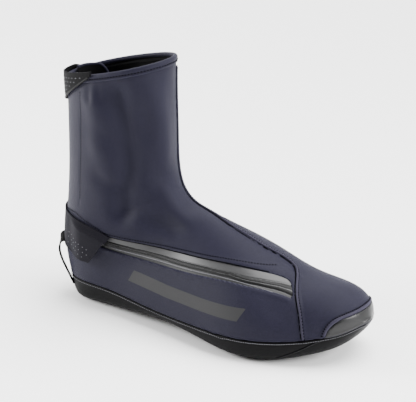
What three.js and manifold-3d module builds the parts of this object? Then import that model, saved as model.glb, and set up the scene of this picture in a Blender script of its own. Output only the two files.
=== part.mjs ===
// Cycling overshoe for a right shoe: a close-fitting winter cover that is drawn on over a cycling shoe.
// Millimetres. +X runs from heel to toe, +Y to the wearer's left (the inner, big-toe side), +Z up.
// The part stands on its sole; the origin is under the middle of its bounding box, on the floor.
//
// The whole cover is worked out from one surface, the outside of the shod foot and lower leg.
// A row of SECTIONS is one closed ring. Its plane holds the Y direction and runs from the front
// (or top) line of the profile to the back (or bottom) line, so the planes lie flat in the shaft,
// fan round the ankle and heel, and stand upright in the foot.
import * as THREE from "three";
import { mergeVertices } from "three/addons/utils/BufferGeometryUtils.js";
import Module from "manifold-3d";

const wasm = await Module();
wasm.setup();

// ---------------------------------------------------------------- sizes
const FOOT_LENGTH = 299; // heel to toe tip, over the shoe inside
const UPPER_WALL = 3.0; // lined neoprene-type laminate
const SOLE_WALL = 2.4; // coated fabric underfoot
const BUMPER_WALL = 2.6; // coated toe panel
const GAP = 0.3; // between pieces that meet
const RINGS_PER_ROW = 2; // loft rings for each row of the table
const RING_SIDES = 40;
const ORIGIN = { x: 147.955, y: -2.6, z: 0 }; // middle of the bounding box in foot coordinates

// front x,z: instep and shin line. back x,z: calf, heel and sole line. wide: where the ring is
// widest, as a share of the way from front to back. out, in: half widths to the outer (little
// toe) and inner side. mid: sideways shift of the ring. fe, be: fullness of its front and back.
const SECTIONS = [
  { name: "collar", fx: 108.6, fz: 228.0, bx: 6.4, bz: 202.4, wide: 0.5, out: 36.6, in: 36.2, mid: -0.3, fe: 2.12, be: 2.17 },
  { name: "calf", fx: 107.9, fz: 198.5, bx: 5.9, bz: 173.4, wide: 0.5, out: 36.6, in: 36.8, mid: -0.4, fe: 2.1, be: 2.15 },
  { name: "shaft", fx: 107.8, fz: 165.4, bx: 5.4, bz: 142.0, wide: 0.5, out: 36.9, in: 37.2, mid: -0.7, fe: 2.09, be: 2.15 },
  { name: "ankle", fx: 108.5, fz: 132.8, bx: 2.7, bz: 104.2, wide: 0.5, out: 37.4, in: 37.2, mid: -0.9, fe: 2.08, be: 2.15 },
  { name: "bend", fx: 114.6, fz: 112.8, bx: -0.6, bz: 70.4, wide: 0.52, out: 38.3, in: 37.2, mid: -0.9, fe: 2.06, be: 2.25 },
  { name: "instep", fx: 124.4, fz: 103.0, bx: -0.4, bz: 38.4, wide: 0.55, out: 39.1, in: 38.6, mid: -0.6, fe: 2.06, be: 2.45 },
  { name: "heel_back", fx: 134.0, fz: 98.8, bx: 6.4, bz: 10.6, wide: 0.58, out: 39.7, in: 40.0, mid: 0.0, fe: 2.08, be: 2.66 },
  { name: "heel_edge", fx: 140.8, fz: 97.2, bx: 13.4, bz: -1.0, wide: 0.61, out: 40.1, in: 40.8, mid: 0.2, fe: 2.1, be: 2.93 },
  { name: "heel", fx: 148.7, fz: 95.6, bx: 37.8, bz: -2.3, wide: 0.66, out: 40.7, in: 41.2, mid: 0.3, fe: 2.12, be: 3.3 },
  { name: "heel_breast", fx: 158.7, fz: 93.4, bx: 71.7, bz: 0.2, wide: 0.7, out: 42.7, in: 41.0, mid: 0.2, fe: 2.13, be: 3.4 },
  { name: "waist", fx: 171.8, fz: 90.1, bx: 113.8, bz: 3.2, wide: 0.71, out: 46.2, in: 42.7, mid: -0.6, fe: 2.14, be: 3.37 },
  { name: "arch", fx: 191.8, fz: 84.6, bx: 160.0, bz: 0.9, wide: 0.72, out: 51.1, in: 47.2, mid: -1.5, fe: 2.14, be: 3.36 },
  { name: "ball", fx: 216.5, fz: 75.4, bx: 203.1, bz: -2.5, wide: 0.74, out: 54.8, in: 50.6, mid: -1.7, fe: 2.15, be: 3.38 },
  { name: "forefoot", fx: 240.2, fz: 64.4, bx: 236.3, bz: -1.9, wide: 0.72, out: 50.0, in: 50.3, mid: 1.0, fe: 2.22, be: 3.19 },
  { name: "toes", fx: 263.0, fz: 59.4, bx: 263.2, bz: 4.0, wide: 0.68, out: 40.0, in: 44.2, mid: 4.8, fe: 2.32, be: 2.85 },
  { name: "toe_box", fx: 281.6, fz: 54.4, bx: 282.9, bz: 12.6, wide: 0.62, out: 28.9, in: 32.7, mid: 7.7, fe: 2.4, be: 2.53 },
  { name: "toe_cap", fx: 293.0, fz: 45.6, bx: 292.4, bz: 22.3, wide: 0.58, out: 17.6, in: 19.8, mid: 9.5, fe: 2.38, be: 2.38 },
  { name: "tip", fx: 298.4, fz: 35.2, bx: 298.8, bz: 31.4, wide: 0.5, out: 4.6, in: 4.8, mid: 10.6, fe: 2.2, be: 2.2 },
];

// Height of the seam between the upper and the wrapped-up edge of the sole.
const SOLE_SEAM = [
  { x: -20, z: 19.5 },
  { x: 10, z: 20.2 },
  { x: 45, z: 22.0 },
  { x: 90, z: 20.0 },
  { x: 125, z: 17.6 },
  { x: 160, z: 18.0 },
  { x: 200, z: 19.6 },
  { x: 238, z: 20.9 },
  { x: 262, z: 22.9 },
  { x: 280, z: 26.2 },
  { x: 290, z: 28.6 },
  { x: 299, z: 32.4 },
  { x: 320, z: 36.0 },
];
// Back edge of the coated toe panel: it rises from the sole seam and runs over the toe.
const BUMPER_EDGE = [
  { x: 279.2, z: 10 },
  { x: 279.4, z: 25 },
  { x: 280.2, z: 29 },
  { x: 282.0, z: 33 },
  { x: 285.0, z: 36.5 },
  { x: 289.0, z: 39 },
  { x: 293.5, z: 41 },
  { x: 299.0, z: 42.6 },
  { x: 310.0, z: 60 },
];
// The zip's opening in the outer side wall: lower and upper edge at stations along the foot.
const ZIP = [
  { x: 46, lo: 61.6, hi: 73.0 },
  { x: 62, lo: 60.4, hi: 71.8 },
  { x: 95, lo: 58.4, hi: 70.8 },
  { x: 135, lo: 59.0, hi: 71.3 },
  { x: 168, lo: 61.2, hi: 73.0 },
  { x: 196, lo: 62.8, hi: 73.3 },
  { x: 220, lo: 61.0, hi: 70.0 },
  { x: 234, lo: 58.4, hi: 65.4 },
  { x: 242, lo: 56.5, hi: 61.5 },
  { x: 248, lo: 54.9, hi: 56.6 },
];
const ZIP_TAPE = { recess: 0.7, thick: 1.7 };
const ZIP_COIL = { width: 3.2, proud: 0.35, share: 0.5 }; // share: height in the opening
// Windows in the sole for the cleat and for the heel pad of the shoe inside.
const WINDOWS = [
  { name: "cleat", x: 204, y: -1, length: 70, width: 52, corner: 14 },
  { name: "heel", x: 50, y: 0.3, length: 42, width: 38, corner: 12 },
];

// Zip garage at the heel: outline in side view. It wraps the heel and ends on the inner side.
// It is sewn down along its top and round the heel; its lower front corner stands off the slider.
const FLAP = {
  thick: 1.3,
  near: 0.3, // clearance where it is sewn down
  lift: 5.8, // further clearance over the slider
  liftFrom: 20,
  liftTo: 43,
  liftBelow: 5.0, // reached this far under the top seam
  innerEnd: 32, // x of its sewn end on the inner side
};
const FLAP_OUTLINE = [
  { x: -12, lo: 47.6, hi: 82.4 },
  { x: 12, lo: 47.2, hi: 81.8 },
  { x: 34, lo: 45.4, hi: 79.6 },
  { x: 50.4, lo: 45.4, hi: 77.2 },
  { x: 56.0, lo: 52.4, hi: 76.0 },
  { x: 61.6, lo: 60.0, hi: 74.4 },
  { x: 66.4, lo: 66.9, hi: 72.8 },
  { x: 70.0, lo: 71.2, hi: 71.8 },
];

// Zip slider on the closed end, and its pull tab, in the slider's own frame:
// a along the zip towards the toe, c across it, n outwards.
const SLIDER = { u: 0.3623, phi: 89, length: 12.5, width: 8, base: 0.45, plate: 1.0, top: 3.2, bridge: 1.3 };
const PULL = { length: 11, width: 5.4, thick: 0.7, height: 2.0 };

// Collar tab: a stiff V-shaped patch on the back of the collar. It stands a little above the rim
// at the back and on the outer side, and lies just below it on the inner side.
const TAB = { halfAngle: 88, tip: 0.064, top: -0.0075, innerTop: 0.004, end: 0.009, curve: 1.6, near: 0.3, belly: 0.9, thick: 1.3, rows: 6, cols: 22 };
// Underlap: the end of the outer wall, which passes behind the collar's inner side. Round corner.
const UNDERLAP = { from: 174, to: 232, depth: 0.115, near: 0.5, lean: 2.5, rise: 0.007, thick: 2.2, corner: 0.38, drop: 0.08, rows: 8, cols: 12 };
// Heel loop: webbing caught at the outer back of the heel. Its end stands upright and it turns
// a quarter round its own length on the way down to the sole's edge.
const LOOP = { width: 12, thick: 1.4, steps: 30, turnBy: 0.3 };
const LOOP_TOP = { x: -0.42, y: 0.6, z: 0.68 }; // direction of the webbing's width at its upper end
const LOOP_SIDE = { x: -0.559, y: 0.745, z: -0.365 }; // and lower down
const LOOP_PATH = [
  { x: 6.9, y: -23.8, z: 53.2 },
  { x: 4.4, y: -25.9, z: 52.5 },
  { x: 2.6, y: -27.4, z: 48.9 },
  { x: 1.9, y: -28.4, z: 43.8 },
  { x: 2.4, y: -28.7, z: 38.3 },
  { x: 4.6, y: -28.6, z: 32.0 },
  { x: 7.7, y: -27.9, z: 25.2 },
  { x: 12.0, y: -27.3, z: 17.2 },
  { x: 15.6, y: -26.8, z: 10.6 },
];

// ---------------------------------------------------------------- the form
// Natural cubic spline through (at, values).
function spline(at, values) {
  const n = at.length;
  const h = at.slice(1).map((v, i) => v - at[i]);
  const diag = Array(n).fill(1), rhs = Array(n).fill(0), up = Array(n).fill(0);
  for (let i = 1; i < n - 1; i++) {
    const low = h[i - 1];
    diag[i] = 2 * (h[i - 1] + h[i]);
    up[i] = h[i];
    rhs[i] = 6 * ((values[i + 1] - values[i]) / h[i] - (values[i] - values[i - 1]) / h[i - 1]);
    if (i > 1) {
      const w = low / diag[i - 1];
      diag[i] -= w * up[i - 1];
      rhs[i] -= w * rhs[i - 1];
    }
  }
  const m = Array(n).fill(0);
  for (let i = n - 2; i > 0; i--) m[i] = (rhs[i] - up[i] * m[i + 1]) / diag[i];
  return (t) => {
    let i = 0;
    while (i < n - 2 && t > at[i + 1]) i++;
    const a = (at[i + 1] - t) / h[i], b = (t - at[i]) / h[i];
    return a * values[i] + b * values[i + 1] + (((a ** 3 - a) * m[i] + (b ** 3 - b) * m[i + 1]) * h[i] ** 2) / 6;
  };
}

// u of each row: the mean travel of its front and back points, from 0 at the collar to 1 at the tip.
const rowAt = [0];
for (let i = 1; i < SECTIONS.length; i++) {
  const a = SECTIONS[i - 1], b = SECTIONS[i];
  rowAt.push(rowAt[i - 1] + (Math.hypot(b.fx - a.fx, b.fz - a.fz) + Math.hypot(b.bx - a.bx, b.bz - a.bz)) / 2);
}
const travel = rowAt[rowAt.length - 1];
rowAt.forEach((v, i) => (rowAt[i] = v / travel));
const column = {};
for (const key of ["fx", "fz", "bx", "bz", "wide", "out", "in", "mid", "fe", "be"])
  column[key] = spline(rowAt, SECTIONS.map((r) => r[key]));

// A point of the outside surface. phi: 0 front or top, 90 outer side, 180 back or sole, 270 inner side.
function rawPoint(u, phi) {
  const g = {};
  for (const key in column) g[key] = column[key](u);
  const c = Math.cos(phi), s = Math.sin(phi);
  const mx = g.fx + (g.bx - g.fx) * g.wide, mz = g.fz + (g.bz - g.fz) * g.wide;
  const power = 2 / (c >= 0 ? g.fe : g.be);
  const along = Math.abs(c) ** power, across = Math.abs(s) ** power;
  const [tx, tz] = c >= 0 ? [g.fx, g.fz] : [g.bx, g.bz];
  return new THREE.Vector3(
    mx + (tx - mx) * along,
    g.mid - Math.sign(s) * (s >= 0 ? g.out : g.in) * across,
    mz + (tz - mz) * along,
  );
}
function normalAt(u, phi) {
  const e = 1e-3;
  const du = rawPoint(u + e, phi).sub(rawPoint(u - e, phi));
  const dp = rawPoint(u, phi + e).sub(rawPoint(u, phi - e));
  return dp.cross(du).normalize();
}
// The surface moved out by d. The heel and the ball of the foot are flat on the floor.
function formPoint(u, phi, d = 0) {
  const p = rawPoint(u, phi);
  if (p.z < 0) p.z = 0;
  return d === 0 ? p : p.addScaledVector(normalAt(u, phi), d);
}
const deg = THREE.MathUtils.degToRad;

// ---------------------------------------------------------------- solids
function solid(geometry) {
  const g = geometry.clone();
  for (const name of Object.keys(g.attributes)) if (name !== "position") g.deleteAttribute(name);
  const merged = mergeVertices(g, 1e-4);
  return new wasm.Manifold(
    new wasm.Mesh({
      numProp: 3,
      vertProperties: new Float32Array(merged.attributes.position.array),
      triVerts: new Uint32Array(merged.index.array),
    }),
  );
}
function geometryOf(m) {
  const mesh = m.getMesh();
  const g = new THREE.BufferGeometry();
  g.setAttribute("position", new THREE.BufferAttribute(new Float32Array(mesh.vertProperties), 3));
  g.setIndex(new THREE.BufferAttribute(new Uint32Array(mesh.triVerts), 1));
  return g;
}
function indexed(points, faces) {
  const g = new THREE.BufferGeometry();
  g.setAttribute("position", new THREE.Float32BufferAttribute(points.flatMap((p) => [p.x, p.y, p.z]), 3));
  g.setIndex(faces);
  return g;
}
// The rings' places along u: RINGS_PER_ROW steps between one row and the next.
function ringPlaces() {
  const us = [];
  for (let i = 0; i < rowAt.length - 1; i++)
    for (let k = 0; k < RINGS_PER_ROW; k++) us.push(rowAt[i] + ((rowAt[i + 1] - rowAt[i]) * k) / RINGS_PER_ROW);
  us.push(1);
  return us;
}
// A closed loft of the form at offset(u, phi), with both ends capped. above: how far the first
// ring is carried on past the collar, so that a cutter comes out of the top.
function loft(offset, above = 0) {
  const rings = ringPlaces().map((u) =>
    Array.from({ length: RING_SIDES }, (_, j) => {
      const phi = (2 * Math.PI * j) / RING_SIDES;
      return formPoint(u, phi, offset(u, phi));
    }),
  );
  if (above) {
    const step = new THREE.Vector3(0, 0, above);
    rings.unshift(rings[0].map((p) => p.clone().add(step)));
  }
  const points = rings.flat(), faces = [], n = RING_SIDES;
  for (let i = 0; i < rings.length - 1; i++)
    for (let j = 0; j < n; j++) {
      const a = i * n + j, b = i * n + ((j + 1) % n), c = a + n, d = b + n;
      faces.push(a, b, d, a, d, c);
    }
  for (const [start, flip] of [[0, true], [(rings.length - 1) * n, false]]) {
    const centre = new THREE.Vector3();
    for (let j = 0; j < n; j++) centre.add(points[start + j]);
    points.push(centre.divideScalar(n));
    const hub = points.length - 1;
    for (let j = 0; j < n; j++) {
      const a = start + j, b = start + ((j + 1) % n);
      faces.push(...(flip ? [hub, b, a] : [hub, a, b]));
    }
  }
  const g = indexed(points, faces);
  let m = solid(g);
  if (m.volume() < 0) {
    for (let i = 0; i < faces.length; i += 3) [faces[i + 1], faces[i + 2]] = [faces[i + 2], faces[i + 1]];
    m = solid(indexed(points, faces));
  }
  return m;
}
// A side-view outline (x, z) carried across from y0 to y1.
function prism(outline, y0, y1) {
  const shape = new THREE.Shape(outline.map(([x, z]) => new THREE.Vector2(x, z)));
  const g = new THREE.ExtrudeGeometry(shape, { depth: y1 - y0, bevelEnabled: false });
  g.rotateX(Math.PI / 2).translate(0, y1, 0);
  return solid(g);
}
// A plan outline with round corners, carried from z0 to z1.
function window3(w, z0, z1) {
  const a = w.length / 2, b = w.width / 2, r = w.corner;
  const s = new THREE.Shape();
  s.moveTo(-a + r, -b).lineTo(a - r, -b).absarc(a - r, -b + r, r, -Math.PI / 2, 0, false);
  s.lineTo(a, b - r).absarc(a - r, b - r, r, 0, Math.PI / 2, false);
  s.lineTo(-a + r, b).absarc(-a + r, b - r, r, Math.PI / 2, Math.PI, false);
  s.lineTo(-a, -b + r).absarc(-a + r, -b + r, r, Math.PI, 1.5 * Math.PI, false);
  const g = new THREE.ExtrudeGeometry(s, { depth: z1 - z0, bevelEnabled: false, curveSegments: 6 });
  g.translate(w.x, w.y, z0);
  return solid(g);
}
// A sheet of even thickness: place(s, t) gives its inner point and outward normal, s and t from 0 to 1.
function sheet(place, thick, rows, cols) {
  const inner = [], outer = [], faces = [];
  for (let i = 0; i <= rows; i++)
    for (let j = 0; j <= cols; j++) {
      const { p, n } = place(j / cols, i / rows);
      inner.push(p);
      outer.push(p.clone().addScaledVector(n, thick));
    }
  const w = cols + 1, all = inner.length, at = (i, j) => i * w + j;
  for (let i = 0; i < rows; i++)
    for (let j = 0; j < cols; j++) {
      const a = at(i, j), b = at(i, j + 1), c = at(i + 1, j), d = at(i + 1, j + 1);
      faces.push(a, b, d, a, d, c, a + all, d + all, b + all, a + all, c + all, d + all);
    }
  const rim = [];
  for (let j = 0; j < cols; j++) rim.push(at(0, j));
  for (let i = 0; i < rows; i++) rim.push(at(i, cols));
  for (let j = cols; j > 0; j--) rim.push(at(rows, j));
  for (let i = rows; i > 0; i--) rim.push(at(i, 0));
  rim.forEach((a, k) => {
    const b = rim[(k + 1) % rim.length];
    faces.push(b, a, a + all, b, a + all, b + all);
  });
  const points = inner.concat(outer);
  let m = solid(indexed(points, faces));
  if (m.volume() < 0) {
    for (let i = 0; i < faces.length; i += 3) [faces[i + 1], faces[i + 2]] = [faces[i + 2], faces[i + 1]];
    m = solid(indexed(points, faces));
  }
  return m;
}
const smooth = (a, b, v) => {
  const t = Math.min(1, Math.max(0, (v - a) / (b - a)));
  return t * t * (3 - 2 * t);
};

// ---------------------------------------------------------------- regions
const half = GAP / 2;
const soleRegion = (g) =>
  prism([[-30, -20], [330, -20], ...SOLE_SEAM.map((r) => [r.x, r.z + g]).reverse(), [-30, SOLE_SEAM[0].z + g]], -90, 90);
const bumperRegion = (g) => prism([...BUMPER_EDGE.map((r) => [r.x - g, r.z]), [330, 60], [330, 10]], -90, 90);
// grow: how much wider than the stated opening. share: the part of its height that is kept.
function zipRegion(grow, lo = 0, hi = 1) {
  const low = ZIP.map((r, i) => [r.x + (i === 0 ? -grow : i === ZIP.length - 1 ? grow : 0), r.lo + (r.hi - r.lo) * lo - grow]);
  const high = ZIP.map((r, i) => [r.x + (i === 0 ? -grow : i === ZIP.length - 1 ? grow : 0), r.lo + (r.hi - r.lo) * hi + grow]).reverse();
  return prism([...low, ...high], -90, -2);
}

// ---------------------------------------------------------------- main pieces
const outside = loft(() => 0);
const inside = (wall) => loft(() => -wall, 8);

const upper = outside
  .subtract(inside(UPPER_WALL))
  .subtract(soleRegion(half))
  .subtract(bumperRegion(half))
  .subtract(zipRegion(0));

let sole = outside.subtract(inside(SOLE_WALL)).intersect(soleRegion(-half));
for (const w of WINDOWS) sole = sole.subtract(window3(w, -5, 12));

const bumper = outside.subtract(inside(BUMPER_WALL)).intersect(bumperRegion(-half)).subtract(soleRegion(half));

// Zip: two tapes in the opening, a little below the outside, and the closed coil along their middle.
const tape = loft(() => -ZIP_TAPE.recess)
  .subtract(loft(() => -ZIP_TAPE.recess - ZIP_TAPE.thick))
  .intersect(zipRegion(-GAP));
const coilShare = (r, sign) => ZIP_COIL.share + (sign * ZIP_COIL.width) / 2 / Math.max(r.hi - r.lo, 1);
const coilRegion = () => {
  const rows = ZIP.filter((r) => r.hi - r.lo > ZIP_COIL.width + 1.2);
  const at = (r, sign) => [r.x, r.lo + (r.hi - r.lo) * coilShare(r, sign)];
  rows[0] = { ...rows[0], x: rows[0].x + 2 };
  return prism([...rows.map((r) => at(r, -1)), ...rows.map((r) => at(r, 1)).reverse()], -90, -2);
};
const coil = loft(() => ZIP_COIL.proud)
  .subtract(loft(() => -ZIP_TAPE.recess - 0.6))
  .intersect(coilRegion());
const zip = tape.add(coil);

// ---------------------------------------------------------------- zip garage
// Its clearance grows towards the free front edge, which stands over the slider.
const topSeam = (x) => {
  const i = FLAP_OUTLINE.findIndex((r) => r.x > x);
  if (i <= 0) return FLAP_OUTLINE[i === 0 ? 0 : FLAP_OUTLINE.length - 1].hi;
  const a = FLAP_OUTLINE[i - 1], b = FLAP_OUTLINE[i];
  return a.hi + ((b.hi - a.hi) * (x - a.x)) / (b.x - a.x);
};
const flapOffset = (extra) => (u, phi) => {
  const p = rawPoint(u, phi);
  const outerSide = smooth(2, -14, p.y), free = smooth(0, FLAP.liftBelow, topSeam(p.x) - p.z);
  return FLAP.near + FLAP.lift * smooth(FLAP.liftFrom, FLAP.liftTo, p.x) * outerSide * free + extra;
};
const flapOutline = [...FLAP_OUTLINE.map((r) => [r.x, r.lo]), ...FLAP_OUTLINE.map((r) => [r.x, r.hi]).reverse()];
const flapInner = FLAP_OUTLINE.filter((r) => r.x < FLAP.innerEnd);
const flapInnerOutline = [
  ...flapInner.map((r) => [r.x, r.lo]),
  [FLAP.innerEnd, 44.2],
  [FLAP.innerEnd, 80.5],
  ...flapInner.map((r) => [r.x, r.hi]).reverse(),
];
const flap = loft(flapOffset(FLAP.thick))
  .subtract(loft(flapOffset(0)))
  .intersect(prism(flapOutline, -90, 0.05).add(prism(flapInnerOutline, 0, 90)));

// ---------------------------------------------------------------- collar tab and underlap
const tab = sheet(
  (s, t) => {
    const x = Math.abs(2 * s - 1), phi = deg(180 + TAB.halfAngle * (2 * s - 1));
    const top = TAB.top + (TAB.innerTop - TAB.top) * smooth(0.5, 0.62, s);
    const end = s < 0.5 ? 0.0015 : TAB.end;
    const low = end + (TAB.tip - end) * (1 - x ** TAB.curve);
    const u = top + (low - top) * t;
    return { p: formPoint(u, phi, TAB.near + TAB.belly * (1 - x ** 2) * (1 - t ** 2)), n: normalAt(u, phi) };
  },
  TAB.thick, TAB.rows, TAB.cols,
);
const underlap = sheet(
  (s, t) => {
    const phi = deg(UNDERLAP.from + (UNDERLAP.to - UNDERLAP.from) * s);
    const over = Math.max(0, (s - (1 - UNDERLAP.corner)) / UNDERLAP.corner);
    const high = -UNDERLAP.rise * (1 - smooth(0.15, 0.8, s)) + UNDERLAP.drop * (1 - Math.sqrt(1 - over ** 2));
    const u = high + (UNDERLAP.depth - high) * t;
    const d = -UPPER_WALL - UNDERLAP.near - UNDERLAP.lean * smooth(0.2, 1.0, s) * (1 - t) - UNDERLAP.thick;
    return { p: formPoint(u, phi, d), n: normalAt(u, phi) };
  },
  UNDERLAP.thick, UNDERLAP.rows, UNDERLAP.cols,
);

// ---------------------------------------------------------------- heel loop
const vec = (p) => new THREE.Vector3(p.x, p.y, p.z);
const loopCurve = new THREE.CatmullRomCurve3(LOOP_PATH.map(vec), false, "centripetal");
const loopBand = sheet(
  (s, t) => {
    const centre = loopCurve.getPoint(t), along = loopCurve.getTangent(t);
    const across = vec(LOOP_TOP).normalize().lerp(vec(LOOP_SIDE).normalize(), smooth(0, LOOP.turnBy, t));
    across.addScaledVector(along, -across.dot(along)).normalize();
    const n = along.clone().cross(across);
    const p = centre.addScaledVector(across, (s - 0.5) * LOOP.width).addScaledVector(n, -LOOP.thick / 2);
    return { p, n };
  },
  LOOP.thick, LOOP.steps, 2,
);
const loop = loopBand
  .subtract(loft(() => GAP))
  .subtract(loft(flapOffset(FLAP.thick + GAP)).intersect(prism([[-20, 44], [60, 44], [60, 90], [-20, 90]], -90, 90)));

// ---------------------------------------------------------------- slider and pull
const sliderAt = formPoint(SLIDER.u, deg(SLIDER.phi));
const sliderOut = normalAt(SLIDER.u, deg(SLIDER.phi));
const zipAhead = formPoint(0.396, deg(74.5)).sub(sliderAt);
const sliderAlong = zipAhead.addScaledVector(sliderOut, -zipAhead.dot(sliderOut)).normalize();
const sliderAcross = new THREE.Vector3().crossVectors(sliderOut, sliderAlong);
const sliderFrame = new THREE.Matrix4().makeBasis(sliderAlong, sliderAcross, sliderOut).setPosition(sliderAt);

function plate(outline, holes, n0, n1) {
  const s = new THREE.Shape(outline.map(([a, c]) => new THREE.Vector2(a, c)));
  for (const h of holes) s.holes.push(new THREE.Path(h.map(([a, c]) => new THREE.Vector2(a, c))));
  return new THREE.ExtrudeGeometry(s, { depth: n1 - n0, bevelEnabled: false }).translate(0, 0, n0);
}
const L = SLIDER.length / 2, W = SLIDER.width / 2;
const sliderPlate = solid(
  plate([[-L, -W * 0.55], [-L * 0.4, -W], [L * 0.55, -W], [L, -W * 0.7], [L, W * 0.7], [L * 0.55, W], [-L * 0.4, W], [-L, W * 0.55]], [],
    SLIDER.base, SLIDER.base + SLIDER.plate),
);
// the bridge is an arch over the plate, drawn in side view and carried across
const archOutline = [
  [-3.6, 1.2], [-3.6, 2.2], [-2.6, SLIDER.top], [2.6, SLIDER.top], [3.8, 2.0], [3.8, 1.2],
  [2.3, 1.2], [2.1, 2.2], [1.6, 2.6], [-1.6, 2.6], [-2.3, 2.0], [-2.4, 1.2],
];
const arch = new THREE.ExtrudeGeometry(new THREE.Shape(archOutline.map(([a, n]) => new THREE.Vector2(a, n))), {
  depth: SLIDER.bridge,
  bevelEnabled: false,
});
arch.rotateX(Math.PI / 2).translate(0, SLIDER.bridge / 2, 0);
const slider = sliderPlate.add(solid(arch));

const P = PULL.width / 2, eye = SLIDER.bridge / 2 + 0.4;
const pullTab = solid(
  plate(
    [[0.4, -P], [0.4, P], [-PULL.length + 2, P * 0.85], [-PULL.length, P * 0.45], [-PULL.length, -P * 0.45], [-PULL.length + 2, -P * 0.85]],
    [[[-0.6, -eye], [-5.0, -eye], [-5.0, eye], [-0.6, eye]]],
    PULL.height - PULL.thick / 2, PULL.height + PULL.thick / 2,
  ),
);

// ---------------------------------------------------------------- the assembly
const fabric = (color, roughness) => new THREE.MeshStandardMaterial({ color, roughness, metalness: 0, side: THREE.FrontSide });
const overshoe = new THREE.Group();
overshoe.position.set(-ORIGIN.x, -ORIGIN.y, -ORIGIN.z);
function piece(name, geometry, material) {
  const mesh = new THREE.Mesh(geometry, material);
  mesh.name = name;
  overshoe.add(mesh);
  return mesh;
}
piece("upper", geometryOf(upper), fabric(0x2e2e3c, 0.72));
piece("sole", geometryOf(sole), fabric(0x17171a, 0.6));
piece("toe_bumper", geometryOf(bumper), fabric(0x3a3a3c, 0.38));
piece("zip_chain", geometryOf(zip), fabric(0x3d3d40, 0.45));
piece("zip_garage", geometryOf(flap), fabric(0x26262f, 0.7));
piece("collar_tab", geometryOf(tab), fabric(0x222222, 0.6));
piece("collar_underlap", geometryOf(underlap), fabric(0x2e2e3c, 0.75));
piece("heel_loop", geometryOf(loop), fabric(0x101012, 0.8));
const metal = new THREE.MeshStandardMaterial({ color: 0x2b2b2d, roughness: 0.4, metalness: 0.7 });
for (const [name, m] of [["zip_slider", slider], ["zip_pull", pullTab]]) {
  const mesh = piece(name, geometryOf(m), metal);
  mesh.applyMatrix4(sliderFrame);
}

export default overshoe;
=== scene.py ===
"""Looks of a winter cycling overshoe (right foot), built round its CAD model.

Foot coordinates are millimetres: x from heel to toe, y to the inner side, z up. SHIFT moves them
to the row frame, which is in metres with its origin on the floor under the middle of the part.
Every visible skin is worked out from the same surface as the CAD part: raw(u, phi), with u from 0 at
the collar to 1 at the toe's tip, and phi 0 front or top, 90 outer side, 180 back or sole, 270 inner.
"""
import math

import bpy
import numpy as np
from mathutils import Matrix, Vector
from mathutils.bvhtree import BVHTree


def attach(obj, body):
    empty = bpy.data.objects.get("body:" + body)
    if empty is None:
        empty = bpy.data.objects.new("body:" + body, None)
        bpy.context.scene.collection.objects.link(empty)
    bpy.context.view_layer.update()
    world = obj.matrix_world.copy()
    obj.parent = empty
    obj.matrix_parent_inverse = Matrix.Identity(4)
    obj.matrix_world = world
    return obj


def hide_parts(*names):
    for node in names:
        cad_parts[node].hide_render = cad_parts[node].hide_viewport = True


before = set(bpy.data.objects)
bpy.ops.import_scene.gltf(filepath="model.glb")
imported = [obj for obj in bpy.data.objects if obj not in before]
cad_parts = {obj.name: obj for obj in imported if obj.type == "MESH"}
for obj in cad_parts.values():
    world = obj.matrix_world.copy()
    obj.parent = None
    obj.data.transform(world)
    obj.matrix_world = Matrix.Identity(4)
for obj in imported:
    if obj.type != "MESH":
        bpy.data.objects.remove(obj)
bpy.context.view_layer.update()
BODY = "overshoe"
SHIFT = np.array([147.955, -2.6, 0.0])

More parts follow.
